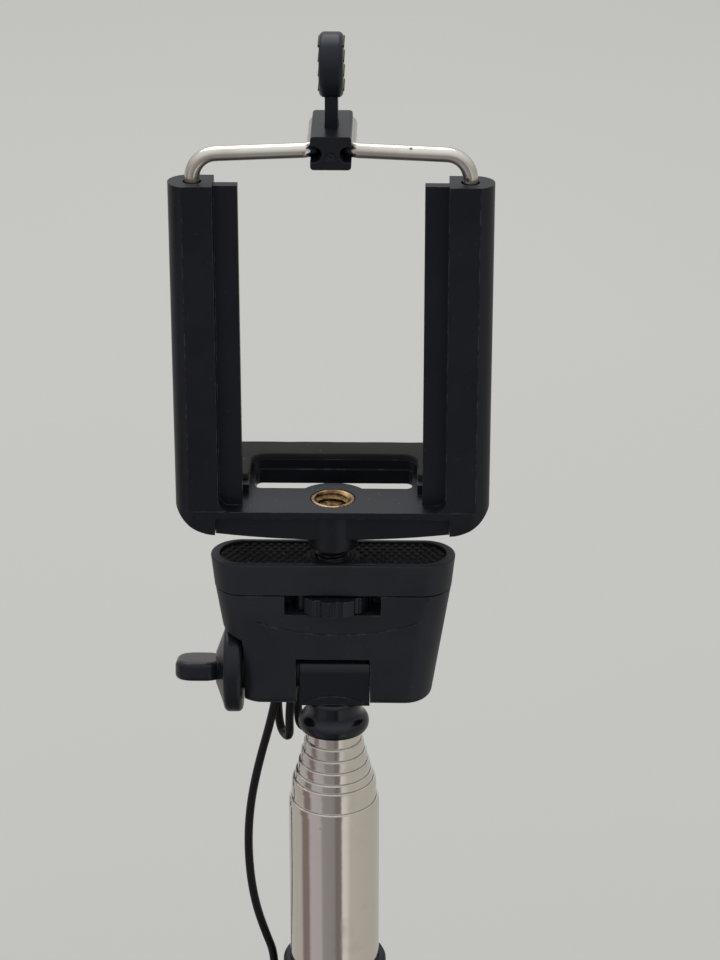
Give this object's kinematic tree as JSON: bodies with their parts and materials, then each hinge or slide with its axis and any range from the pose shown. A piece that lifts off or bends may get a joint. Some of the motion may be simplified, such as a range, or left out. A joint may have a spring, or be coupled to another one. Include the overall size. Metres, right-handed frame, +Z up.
{
  "type": "selfie stick",
  "caption": "Telescopic selfie stick: wired shutter grip, nested steel tubes, tilt head with thumb knob and lock wheel, and a phone holder with a sprung wire bail.",
  "frame": {"origin": "lowest point of the strap eye at the foot of the handle, on the axis of the tubes", "axes": "+Z up the stick from handle to phone holder, -Y the side that faces the user, +X to the user's right, away from the thumb knob"},
  "size_m": [0.0564, 0.0357, 0.2995],
  "materials": {
    "handle_plastic": "fine moulded grain",
    "grip_rubber": "soft matte rubber",
    "tube_steel": "polished stainless with smudges",
    "bush_plastic": "natural nylon",
    "neck_plastic": "glossy moulded",
    "head_plastic": "fine sparked grain",
    "holder_plastic": "satin",
    "pad_rubber": "small round bumps",
    "rim_rubber": "soft matte",
    "wire_nickel": "bright nickel plate",
    "insert_brass": "machined, knurled",
    "screw_steel": "zinc plated",
    "stud_black": "black oxide",
    "knob_plastic": "satin gloss",
    "lead_pvc": "smooth flexible jacket",
    "plug_plastic": "moulded",
    "plug_metal": "nickel plate",
    "board_green": "solder mask",
    "button_plastic": "satin",
    "spring_steel": "drawn wire"
  },
  "bodies": {
    "handle": {"end_cap": "handle_plastic", "grip_core": "handle_plastic", "grip_sleeve": "grip_rubber", "section_7": "tube_steel", "handle_collar": "handle_plastic", "housing_front": "handle_plastic", "housing_rear": "handle_plastic", "housing_screws": "screw_steel", "switch_board": "board_green", "switch_body": "plug_plastic", "switch_lead": "lead_pvc"},
    "shutter_button": {"shutter_button": "button_plastic", "switch_plunger": "button_plastic"},
    "section_6": {"section_6": "tube_steel", "bush_6": "bush_plastic"},
    "section_5": {"section_5": "tube_steel", "bush_5": "bush_plastic"},
    "section_4": {"section_4": "tube_steel", "bush_4": "bush_plastic"},
    "section_3": {"section_3": "tube_steel", "bush_3": "bush_plastic"},
    "section_2": {"section_2": "tube_steel", "bush_2": "bush_plastic"},
    "section_1": {"section_1": "tube_steel", "bush_1": "bush_plastic", "neck": "neck_plastic", "coiled_lead": "lead_pvc", "lead_gland": "plug_plastic", "lead": "lead_pvc", "plug_relief": "plug_plastic", "plug_body": "plug_plastic", "plug_pin": "plug_metal"},
    "head": {"head_body": "head_plastic", "head_cap": "head_plastic", "head_pad": "pad_rubber", "head_screws": "screw_steel", "clamp_nut": "screw_steel", "knob_washer": "stud_black", "tilt_washer": "stud_black", "stud_collar": "pad_rubber"},
    "thumb_knob": {"thumb_knob": "knob_plastic", "pivot_screw": "screw_steel"},
    "lock_wheel": {"lock_wheel": "knob_plastic", "mount_stud": "stud_black"},
    "holder": {"holder_frame": "holder_plastic", "thread_insert": "insert_brass", "rim_pad": "rim_rubber", "spring_left": "spring_steel", "spring_right": "spring_steel"},
    "bail": {"bail_wire": "wire_nickel", "bail_block": "knob_plastic", "block_pin": "knob_plastic", "pull_tab": "knob_plastic", "leg_stops": "screw_steel"}
  },
  "joints": [
    {"name": "shutter_press", "type": "slide", "parent": "handle", "child": "shutter_button", "axis": [0, 1, 0], "range_m": [0, 0.0006], "stiffness_N_per_m": 1500, "springref_m": -0.0006},
    {"name": "extend_6", "type": "slide", "parent": "handle", "child": "section_6", "axis": [0, 0, 1], "range_m": [0, 0.1254]},
    {"name": "extend_5", "type": "slide", "parent": "section_6", "child": "section_5", "axis": [0, 0, 1], "range_m": [0, 0.128]},
    {"name": "extend_4", "type": "slide", "parent": "section_5", "child": "section_4", "axis": [0, 0, 1], "range_m": [0, 0.128]},
    {"name": "extend_3", "type": "slide", "parent": "section_4", "child": "section_3", "axis": [0, 0, 1], "range_m": [0, 0.1286]},
    {"name": "extend_2", "type": "slide", "parent": "section_3", "child": "section_2", "axis": [0, 0, 1], "range_m": [0, 0.1293]},
    {"name": "extend_1", "type": "slide", "parent": "section_2", "child": "section_1", "axis": [0, 0, 1], "range_m": [0, 0.13]},
    {"name": "head_tilt", "type": "hinge", "parent": "section_1", "child": "head", "pos_m": [0, 0, 0.181], "axis": [1, 0, 0], "range_deg": [-90, 90]},
    {"name": "knob_turn", "type": "hinge", "parent": "head", "child": "thumb_knob", "pos_m": [-0.018, 0, 0.181], "axis": [1, 0, 0], "continuous": true},
    {"name": "wheel_turn", "type": "hinge", "parent": "head", "child": "lock_wheel", "pos_m": [0, 0, 0.196], "axis": [0, 0, 1], "continuous": true},
    {"name": "holder_turn", "type": "hinge", "parent": "head", "child": "holder", "pos_m": [0, 0, 0.2063], "axis": [0, 0, 1], "continuous": true},
    {"name": "bail_lift", "type": "slide", "parent": "holder", "child": "bail", "axis": [0, 0, 1], "range_m": [0, 0.022], "stiffness_N_per_m": 160, "springref_m": -0.03, "deforming": ["spring_left", "spring_right"]}
  ]
}
